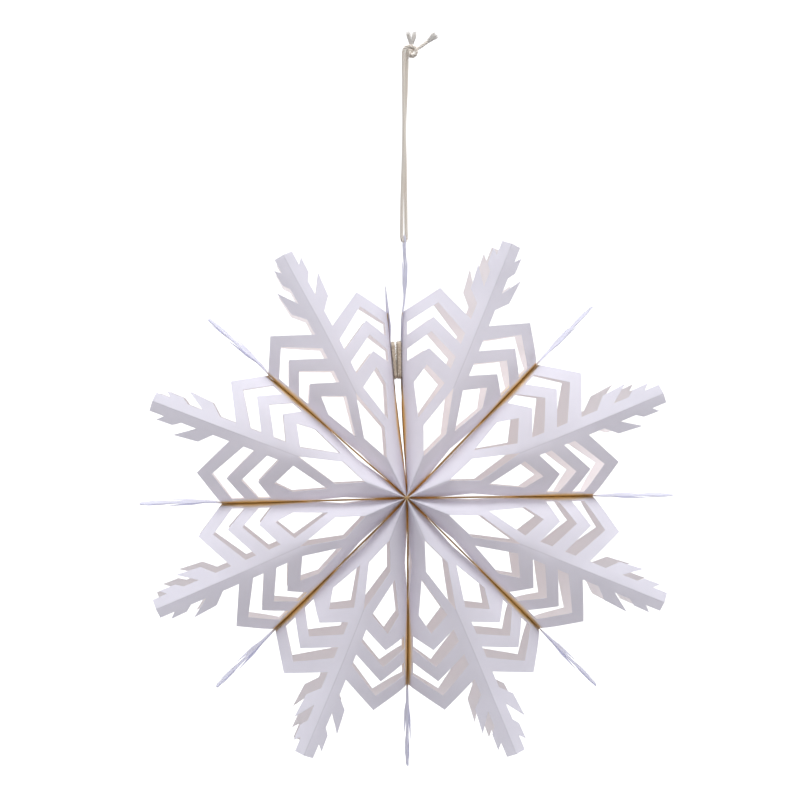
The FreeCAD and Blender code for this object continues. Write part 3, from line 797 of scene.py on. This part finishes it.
def fold_tree():
    tree, given, end = new_tree(
        "fold_cell", half_pitch=0.396, depth=DEPTH * MM, bulge=BULGE, direction=1.0, side=1.0, hub=HUB.copy(),
        arm_slope=0.26, flutter=0.0012, sway=0.0, skew=0.0, valley=0.0012, glued_valley=0.0021, end_side=0.0,
        lean=Vector((0, 0, 0)), seed=1,
        thickness=0.00026, outside=None, inner=None, edge=None,
    )
    spot = add(tree, "GeometryNodeInputPosition").outputs[0]
    parts = add(tree, "ShaderNodeSeparateXYZ", Vector=spot).outputs
    w, r = parts[0], parts[2]
    wide = maths(tree, "ABSOLUTE", w)
    glue = maths(tree, "MINIMUM", maths(tree, "MULTIPLY", r, 0.1), GLUE * MM)
    edge = maths(tree, "SUBTRACT", maths(tree, "MULTIPLY", r, maths(tree, "TANGENT", given["Half Pitch"])), glue)
    ratio = maths(tree, "DIVIDE", wide, maths(tree, "MAXIMUM", edge, 1e-6))
    share = maths(tree, "MAXIMUM", maths(tree, "SUBTRACT", 1.0, ratio), 0.0)
    root = maths(tree, "SQRT", share)
    slack = maths(tree, "MULTIPLY", maths(tree, "SUBTRACT", given["Bulge"], 1.0), share)
    rise = maths(tree, "SUBTRACT", maths(tree, "MULTIPLY", given["Bulge"], root), slack)
    forward = maths(tree, "MULTIPLY", rise, given["Depth"])
    # the arm's halves fall back from the crease beyond the chevrons
    fall = maths(tree, "MULTIPLY", maths(tree, "MULTIPLY", wide, given["Arm Slope"]), ranged(tree, r, *FALL_SPAN))
    forward = maths(tree, "SUBTRACT", forward, fall)
    # slow waviness, none at the leaf
    shift = add(tree, "ShaderNodeCombineXYZ", X=maths(tree, "MULTIPLY", given["Seed"], 7.3), Y=0.0, Z=0.0).outputs[0]
    noise_at = vectors(tree, "ADD", spot, shift)
    wave = add(tree, "ShaderNodeTexNoise", Vector=noise_at, Scale=17.0, Detail=1.0).outputs["Fac"]
    push = maths(tree, "MULTIPLY", maths(tree, "SUBTRACT", wave, 0.5), maths(tree, "MULTIPLY", given["Flutter"], 4.0))
    forward = maths(tree, "ADD", forward, maths(tree, "MULTIPLY", push, root))
    # the free end of the arm sways sideways
    aside = maths(tree, "ADD", w, maths(tree, "MULTIPLY", given["Sway"], ranged(tree, r, *SWAY_SPAN)))
    forward = maths(tree, "MINIMUM", forward, given["Depth"])
    back = maths(tree, "MULTIPLY", maths(tree, "MULTIPLY", forward, -1.0), given["Side"])
    bent = add(tree, "ShaderNodeCombineXYZ", X=aside, Y=back, Z=r).outputs[0]
    # a crease is seldom quite halfway between its two leaves
    facing = maths(tree, "ADD", given["Direction"], maths(tree, "MULTIPLY", given["Skew"], share))
    quarter = maths(tree, "SUBTRACT", math.pi / 2, facing)
    turned = add(
        tree, "ShaderNodeVectorRotate", rotation_type="Y_AXIS", Vector=bent, Angle=quarter
    ).outputs[0]
    place = vectors(tree, "ADD", turned, given["Hub"])
    # the hub's two ends lean a little, less and less further out
    reach = maths(tree, "POWER", maths(tree, "DIVIDE", r, LEAN_REACH), 2.0)
    close = maths(tree, "MULTIPLY", maths(tree, "EXPONENT", maths(tree, "MULTIPLY", reach, -1.0)), rise)
    place = vectors(tree, "ADD", place, vectors(tree, "SCALE", given["Lean"], scale=close))
    marked = add(
        tree, "GeometryNodeStoreNamedAttribute", data_type="FLOAT", domain="POINT", Geometry=given["Geometry"],
        Name="fold", Value=share,
    ).outputs[0]
    # the painted groove shade beside the leaf is widest halfway along the glue line, and beside an end leaf nearer
    # the hub
    loose = maths(tree, "GREATER_THAN", maths(tree, "MULTIPLY", w, given["End Side"]), 0.0)
    along = maths(tree, "ADD", r, maths(tree, "MULTIPLY", loose, GROOVE_SHADE_SHIFT))
    glued = [ranged(tree, along, *span) for span in GLUED_SPANS]
    swell = maths(tree, "MULTIPLY", given["Glued Valley"], maths(tree, "MULTIPLY", *glued))
    base = maths(tree, "MULTIPLY", given["Valley"], maths(tree, "SUBTRACT", 1.0, maths(tree, "MULTIPLY", loose, 0.8)))
    zone = maths(tree, "ADD", base, swell)
    out = maths(tree, "DIVIDE", maths(tree, "MULTIPLY", share, edge), zone)
    marked = add(
        tree, "GeometryNodeStoreNamedAttribute", data_type="FLOAT", domain="POINT", Geometry=marked,
        Name="valley", Value=out,
    ).outputs[0]
    flat = add(tree, "ShaderNodeCombineXYZ", X=w, Y=maths(tree, "MULTIPLY", given["Seed"], 0.4), Z=r).outputs[0]
    marked = add(
        tree, "GeometryNodeStoreNamedAttribute", data_type="FLOAT_VECTOR", domain="POINT", Geometry=marked,
        Name="sheet", Value=vectors(tree, "SCALE", flat, scale=1000.0),
    ).outputs[0]
    folded = add(tree, "GeometryNodeSetPosition", Geometry=marked, Position=place).outputs[0]
    other = add(tree, "FunctionNodeCompare", data_type="FLOAT", operation="LESS_THAN")
    tree.links.new(given["Side"], other.inputs[0])
    skin = add(tree, "GeometryNodeFlipFaces", Mesh=folded, Selection=other.outputs[0]).outputs[0]
    return finish_paper(tree, given, end, skin)


def finish_paper(tree, given, end, skin):
    """Thickness and the three papers: outside on top, inner below, edge round the cut."""
    thick = add(
        tree, "GeometryNodeExtrudeMesh", mode="FACES", Mesh=skin, Individual=False, Offset_Scale=given["Thickness"],
    )
    top = add(tree, "GeometryNodeSetMaterial", Geometry=thick.outputs["Mesh"], Material=given["Outside"]).outputs[0]
    rim = add(
        tree, "GeometryNodeSetMaterial", Geometry=top, Selection=thick.outputs["Side"], Material=given["Edge"]
    ).outputs[0]
    under = add(tree, "GeometryNodeFlipFaces", Mesh=skin).outputs[0]
    under = add(tree, "GeometryNodeSetMaterial", Geometry=under, Material=given["Inner"]).outputs[0]
    both = tree.nodes.new("GeometryNodeJoinGeometry")
    tree.links.new(rim, both.inputs[0])
    tree.links.new(under, both.inputs[0])
    closed = add(tree, "GeometryNodeMergeByDistance", Geometry=both.outputs[0], Distance=1e-6).outputs[0]
    real = add(tree, "GeometryNodeRealizeInstances", Geometry=closed).outputs[0]
    tree.links.new(real, end.inputs[0])
    return tree


FOLD = fold_tree()
print("fold tree with", len(FOLD.nodes), "nodes")


# %% Creases and smooth faces
def crisp(piece, angle=32.0, crease=True):
    """Smooth faces, with an edge kept sharp where it folds by more than the angle or lies on the crease."""
    mesh = piece.data
    mesh.shade_smooth()
    fold = mesh.attributes.get("fold")
    share = np.zeros(len(mesh.vertices), np.float32)
    if fold and crease:
        fold.data.foreach_get("value", share)
    normals = np.zeros(len(mesh.polygons) * 3, np.float32)
    mesh.polygons.foreach_get("normal", normals)
    normals = normals.reshape(-1, 3)
    faces_of = {}
    for polygon in mesh.polygons:
        for key in polygon.edge_keys:
            faces_of.setdefault(key, []).append(polygon.index)
    limit = math.cos(math.radians(angle))
    sharp = np.zeros(len(mesh.edges), bool)
    for edge in mesh.edges:
        sides = faces_of.get(edge.key, [])
        if len(sides) == 2 and normals[sides[0]] @ normals[sides[1]] < limit:
            sharp[edge.index] = True
        if share[edge.vertices[0]] > 0.9995 and share[edge.vertices[1]] > 0.9995:
            sharp[edge.index] = True
    mark = mesh.attributes.get("sharp_edge") or mesh.attributes.new("sharp_edge", "BOOLEAN", "EDGE")
    mark.data.foreach_set("value", sharp)
    mesh.update()


# %% The bowed closure
def closure_bow(piece):
    """The two end leaves and the papers beside them bow to the left between the hub and their tips."""
    points = np.zeros(len(piece.data.vertices) * 3)
    piece.data.vertices.foreach_get("co", points)
    points = points.reshape(-1, 3)
    dx, dz = points[:, 0] - HUB.x, points[:, 2] - HUB.z
    r = np.hypot(dx, dz)
    direction = np.degrees(np.arctan2(dz, dx))
    beside = np.clip(1 - np.abs(direction - 93.7) / 24.0, 0, 1)
    # the last leaf bows less, so that it does not press through its neighbours when the star is folded
    bow = 0.0031 - 0.0013 * np.clip((direction - LEAVES[0]) / (LEAVES[8] + 360.0 - LEAVES[0]), 0, 1)
    swell = np.sin(np.clip(r / 0.17, 0, 1) * math.pi) ** 1.2
    points[:, 0] -= bow * beside ** 1.5 * swell
    piece.data.vertices.foreach_set("co", points.ravel())
    piece.data.update()


# %% Fold all sixteen papers
def fan_share(piece, first, second):
    """How far each point's direction is from the first leaf's to the second's, 0 to 1."""
    points = np.zeros(len(piece.data.vertices) * 3)
    piece.data.vertices.foreach_get("co", points)
    points = points.reshape(-1, 3)
    direction = np.degrees(np.arctan2(points[:, 2] - HUB.z, points[:, 0] - HUB.x))
    middle = (first + second) / 2
    direction += np.round((middle - direction) / 360.0) * 360.0
    return np.clip((first - direction) / (first - second), 0, 1)


SWAY = {("front", 8): -2.0, ("front", 1): 0.6}
SKEW = (0.0, -0.6, 0.0, 0.0, 0.0, 0.0, -1.2, -0.3)  # degrees
LEAN = {"front": Vector((-0.0035, 0, 0.0015)), "back": Vector((-0.0012, 0, 0))}
cells = []
for cell in range(1, 9):
    pitch = WIDE if cell <= 5 else NARROW
    first, second = LEAVES[cell - 1], LEAVES[cell]
    for side, sign in (("front", 1.0), ("back", -1.0)):
        paper = grown(
            f"cell{cell}_{side}_paper", SHEETS[cell - 1], FOLD, half_pitch=math.radians(pitch / 2),
            direction=math.radians(CREASES[cell - 1]), side=sign, seed=cell + (20 if side == "back" else 0),
            sway=SWAY.get((side, cell), 0.0) * MM, skew=math.radians(SKEW[cell - 1]), lean=LEAN[side],
            end_side={1: -1.0, 8: 1.0}.get(cell, 0.0), outside=OUTSIDE, inner=INSIDE, edge=CUT,
        )
        crisp(paper)
        if cell in (1, 8):
            closure_bow(paper)
        weights = fan_share(paper, first, second)
        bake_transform(paper)
        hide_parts(f"cell{cell}_{side}_a", f"cell{cell}_{side}_b")
        cells.append(paper)
print(len(cells), "cell papers,", sum(len(p.data.polygons) for p in cells), "faces")

# %% [markdown]
# ## Leaves
#
# A leaf is two papers back to back, standing on edge. From the hub to the chevrons only its narrow spine is left;
# beyond them it is a full arm with the same barbs as the creases' arms. Nothing holds the two papers of an arm
# together there, so they gape a little and the barbs curl. Each arm and each bare spine is also turned a few degrees
# about its own length. The last leaf is trimmed to a plain pointed tongue, and the first one has the punched hole
# for the cord.

# %% Leaf patterns and tree
LEAF_TIP = 198.5
SPINE = 1.5
SPINE_SPANS = ((0.018, 0.034), (0.08, 0.066))  # the bare spine turns fully between these ends, from the hub
GROOVE_SHADE_EDGE = 0.006  # half the length over which the leaf's painted groove shade fades
HOLE_AT, HOLE_RADIUS = 190.0, 2.2


def leaf_sheet(name, tongue=False, hole=False):
    side = [(SPINE, 0.5), (SPINE, 75.0), (ARM, 82.0)]
    tip = LEAF_TIP - 3.5 if hole else LEAF_TIP
    side += [(ARM, 128.0), (0.6, 158.0)] if tongue else BARBS + [(ARM, tip - 1.0), (0.001, tip)]
    rim = side + [(-w, r) for w, r in reversed(side)]
    windows = []
    if hole:
        turns = [2 * math.pi * n / 20 for n in range(20)]
        windows.append([(HOLE_RADIUS * math.cos(t), HOLE_AT + HOLE_RADIUS * math.sin(t)) for t in turns])
    grid = [(w, r * 2.5) for r in range(1, 80) for w in (-14, -11, -8, -5.2, -2.6, 0, 2.6, 5.2, 8, 11, 14)]
    return cut_sheet(name, rim, windows, grid, lambda w, r: 2.5 if r < 186 or not hole else 0.9)


def leaf_tree():
    tree, given, end = new_tree(
        "leaf_paper", direction=1.0, side=1.0, hub=HUB.copy(), gap=0.0001, splay=0.001, curl=0.001, seed=1,
        arm_twist=0.1, spine_twist=0.35, free_from=0.132, free_to=0.175, tinted_to=0.136, sway=0.0,
        thickness=0.00022, outside=None, inner=None, edge=None,
    )
    spot = add(tree, "GeometryNodeInputPosition").outputs[0]
    parts = add(tree, "ShaderNodeSeparateXYZ", Vector=spot).outputs
    w, r = parts[0], parts[2]
    free = add(tree, "ShaderNodeMapRange", interpolation_type="SMOOTHSTEP", Value=r)
    tree.links.new(given["Free From"], free.inputs[1])
    tree.links.new(given["Free To"], free.inputs[2])
    slit = [ranged(tree, r, *span) for span in SPINE_SPANS]
    shift = add(tree, "ShaderNodeCombineXYZ", X=maths(tree, "MULTIPLY", given["Seed"], 3.1), Y=0.0, Z=0.0).outputs[0]
    wave = add(
        tree, "ShaderNodeTexNoise", Vector=vectors(tree, "ADD", spot, shift), Scale=45.0, Detail=1.0
    ).outputs["Fac"]
    beside = maths(tree, "POWER", maths(tree, "DIVIDE", maths(tree, "ABSOLUTE", w), 0.016), 2.0)
    curl = maths(tree, "MULTIPLY", given["Curl"], maths(tree, "ADD", beside, maths(tree, "SUBTRACT", wave, 0.5)))
    open_by = maths(tree, "MULTIPLY", free.outputs[0], maths(tree, "ADD", given["Splay"], curl))
    out = maths(tree, "MULTIPLY", maths(tree, "ADD", given["Gap"], open_by), given["Side"])
    # the free arm and the bare spine are turned a little about their own length
    arm_turn = maths(tree, "MULTIPLY", given["Arm Twist"], free.outputs[0])
    spine_turn = maths(tree, "MULTIPLY", given["Spine Twist"], maths(tree, "MULTIPLY", *slit))
    turn = maths(tree, "ADD", arm_turn, spine_turn)
    beside = maths(tree, "ADD", out, maths(tree, "MULTIPLY", w, maths(tree, "SINE", turn)))
    beside = maths(tree, "ADD", beside, maths(tree, "MULTIPLY", given["Sway"], free.outputs[0]))
    across = maths(tree, "MULTIPLY", w, maths(tree, "COSINE", turn))
    bent = add(tree, "ShaderNodeCombineXYZ", X=beside, Y=across, Z=r).outputs[0]
    quarter = maths(tree, "SUBTRACT", math.pi / 2, given["Direction"])
    turned = add(tree, "ShaderNodeVectorRotate", rotation_type="Y_AXIS", Vector=bent, Angle=quarter).outputs[0]
    place = vectors(tree, "ADD", turned, given["Hub"])
    # painted groove shade: from the hub out to the given radius the leaf takes its dark amber colour
    past = maths(tree, "SUBTRACT", r, given["Tinted To"])
    deep = ranged(tree, past, -GROOVE_SHADE_EDGE, GROOVE_SHADE_EDGE, smooth=False)
    marked = add(
        tree, "GeometryNodeStoreNamedAttribute", data_type="FLOAT", domain="POINT", Geometry=given["Geometry"],
        Name="valley", Value=deep,
    ).outputs[0]
    marked = add(
        tree, "GeometryNodeStoreNamedAttribute", data_type="FLOAT_VECTOR", domain="POINT", Geometry=marked,
        Name="sheet", Value=vectors(tree, "SCALE", spot, scale=1000.0),
    ).outputs[0]
    folded = add(tree, "GeometryNodeSetPosition", Geometry=marked, Position=place).outputs[0]
    other = add(tree, "FunctionNodeCompare", data_type="FLOAT", operation="GREATER_THAN")
    tree.links.new(given["Side"], other.inputs[0])
    skin = add(tree, "GeometryNodeFlipFaces", Mesh=folded, Selection=other.outputs[0]).outputs[0]
    return finish_paper(tree, given, end, skin)


LEAF = leaf_tree()
FULL, TONGUE, EYED = leaf_sheet("leaf_sheet"), leaf_sheet("tongue_sheet", tongue=True), leaf_sheet("eyed", hole=True)
print("leaf sheets", len(FULL.polygons), len(TONGUE.polygons), len(EYED.polygons))

# %% Nine leaves
ARM_SWAY = {0: 0.0018, 6: 0.002, 7: 0.0025}
ARM_TWIST = (-2, -1.5, -3, -6, 1.5, 1.5, 3.5, 7, -11)  # degrees by which each arm is turned about its own length
SPINE_TWIST = 0.35  # radians
for number, direction in enumerate(LEAVES):
    flat = TONGUE if number == 8 else EYED if number == 0 else FULL
    opened = 0.0003 if number in (0, 8) else (0.0004, 0.0009, 0.0013, 0.0011, 0.0013, 0.001, 0.0012)[number - 1]
    halves = [
        grown(
            f"leaf_{number}_{'ab'[n]}", flat, LEAF, direction=math.radians(direction), side=sign,
            splay=opened * 0.2, curl=opened * 0.6, seed=number * 2 + n, arm_twist=math.radians(ARM_TWIST[number]),
            spine_twist=math.copysign(SPINE_TWIST, ARM_TWIST[number]), free_from=0.114 if number == 8 else 0.13,
            free_to=0.13 if number == 8 else 0.15, sway=ARM_SWAY.get(number, 0.0),
            tinted_to=0.086 if number in (0, 8) else 0.136,
            outside=LEAF_GROOVE_SHADED, inner=LEAF_GROOVE_SHADED, edge=LEAF_GROOVE_SHADED,
        )
        for n, sign in enumerate((-1.0, 1.0))
    ]
    leaf = joined(f"leaf_{number}_papers", halves)
    crisp(leaf, crease=False)
    if number in (0, 8):
        closure_bow(leaf)
    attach(leaf, f"leaf_{number}")
    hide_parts(f"leaf_{number}")
print("leaves ready")

# %% [markdown]
# ## Closure pads
#
# The two ends of the fan are held together by a small pair of hook-and-loop pads at the top. Each pad is a soft
# fabric tape with rounded corners, covered in fine pile, and a tree grows that pile.


# %% Pads
def pile_tree():
    tree, given, end = new_tree(
        "pile", density=900000.0, length=0.0009, hair=0.00006, seed=1, felt=None,
    )
    dots = add(
        tree, "GeometryNodeDistributePointsOnFaces", Mesh=given["Geometry"], Density=given["Density"],
        Seed=given["Seed"],
    )
    line = add(tree, "GeometryNodeCurvePrimitiveLine", mode="POINTS", Start=(0, 0, -0.1), End=(0, 0, 1)).outputs[0]
    fine = add(tree, "GeometryNodeResampleCurve", Curve=line, Count=4).outputs[0]
    number = add(tree, "GeometryNodeInputIndex").outputs[0]
    tilt = add(tree, "FunctionNodeRandomValue", data_type="FLOAT_VECTOR", ID=number, Seed=given["Seed"])
    for plug in tilt.inputs:
        if plug.enabled and plug.name == "Min":
            plug.default_value = (-0.7, -0.7, -0.7)
        if plug.enabled and plug.name == "Max":
            plug.default_value = (0.7, 0.7, 0.7)
    lean = add(tree, "FunctionNodeRotateRotation").outputs[0].node
    tree.links.new(dots.outputs["Rotation"], lean.inputs[0])
    euler = add(tree, "FunctionNodeEulerToRotation").outputs[0].node
    tree.links.new(next(p for p in tilt.outputs if p.enabled), euler.inputs[0])
    tree.links.new(euler.outputs[0], lean.inputs[1])
    size = add(tree, "ShaderNodeCombineXYZ", X=given["Length"], Y=given["Length"], Z=given["Length"]).outputs[0]
    many = add(
        tree, "GeometryNodeInstanceOnPoints", Points=dots.outputs["Points"], Instance=fine,
        Rotation=lean.outputs[0], Scale=size,
    ).outputs[0]
    real = add(tree, "GeometryNodeRealizeInstances", Geometry=many).outputs[0]
    circle = add(tree, "GeometryNodeCurvePrimitiveCircle", Resolution=3, Radius=given["Hair"]).outputs[0]
    hairs = add(tree, "GeometryNodeCurveToMesh", Curve=real, Profile_Curve=circle).outputs[0]
    both = tree.nodes.new("GeometryNodeJoinGeometry")
    tree.links.new(hairs, both.inputs[0])
    tree.links.new(given["Geometry"], both.inputs[0])
    dressed = add(tree, "GeometryNodeSetMaterial", Geometry=both.outputs[0], Material=given["Felt"]).outputs[0]
    tree.links.new(dressed, end.inputs[0])
    return tree


def felt_material():
    material, tree, face = shader("pad_felt", (0.6, 0.53, 0.43), 0.95, 0.1)
    place = add(tree, "ShaderNodeTexCoord").outputs["Object"]
    grain = add(tree, "ShaderNodeTexNoise", Vector=place, Scale=700.0, Detail=3.0).outputs["Fac"]
    tree.links.new(ramp(tree, grain, (0.3, (0.45, 0.35, 0.24)), (0.7, (0.7, 0.62, 0.51))), face.inputs["Base Color"])
    bump = add(tree, "ShaderNodeBump", Height=grain, Strength=0.5, Distance=0.0004).outputs[0]
    tree.links.new(bump, face.inputs["Normal"])
    face.inputs["Sheen Weight"].default_value = 0.4
    return material


def pad_block(name, start, direction):
    """A rounded block in the leaf's own frame, from start along its X."""
    tall, deep, thick, low = 27.0, 14.0, 3.0, 89.0
    outline = []
    for cy, cz, turn in ((1, 1, 0), (-1, 1, 1), (-1, -1, 2), (1, -1, 3)):
        for step in range(7):
            a = math.pi / 2 * (turn + step / 6)
            outline.append((cy * (deep / 2 - 3) + 3 * math.cos(a), cz * (tall / 2 - 3) + 3 * math.sin(a)))
    layers = [(0.0, 0.94), (0.25, 1.0), (thick - 0.25, 1.0), (thick, 0.94)]
    points = [(start + x, y * k, low + tall / 2 + z * k) for x, k in layers for y, z in outline]
    count = len(outline)
    faces = [tuple(range(count))[::-1], tuple(range(3 * count, 4 * count))]
    for layer in range(3):
        for n in range(count):
            m = (n + 1) % count
            faces.append((layer * count + n, layer * count + m, (layer + 1) * count + m, (layer + 1) * count + n))
    mesh = bpy.data.meshes.new(name)
    mesh.from_pydata([tuple(c * MM for c in p) for p in points], [], faces)
    mesh.transform(Matrix.Translation(HUB) @ Matrix.Rotation(math.radians(90 - direction), 4, "Y"))
    mesh.update()
    return mesh


FELT, PILE = felt_material(), pile_tree()
for number, node, start, body in ((0, "pad_first", -3.35, "leaf_0"), (1, "pad_last", 0.35, "leaf_8")):
    block = pad_block(node + "_block", start, LEAVES[0 if number == 0 else 8])
    pad = grown(node + "_felt", block, PILE, felt=FELT, seed=7 + number)
    crisp(pad, crease=False)
    closure_bow(pad)
    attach(pad, body)
    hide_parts(node)
    print(pad.name, len(pad.data.polygons), "faces")

# %% [markdown]
# ## Size and finish
#
# The box round the whole object, without the studio, is printed.

# %% Sizes and finish
print("visual box", corners())
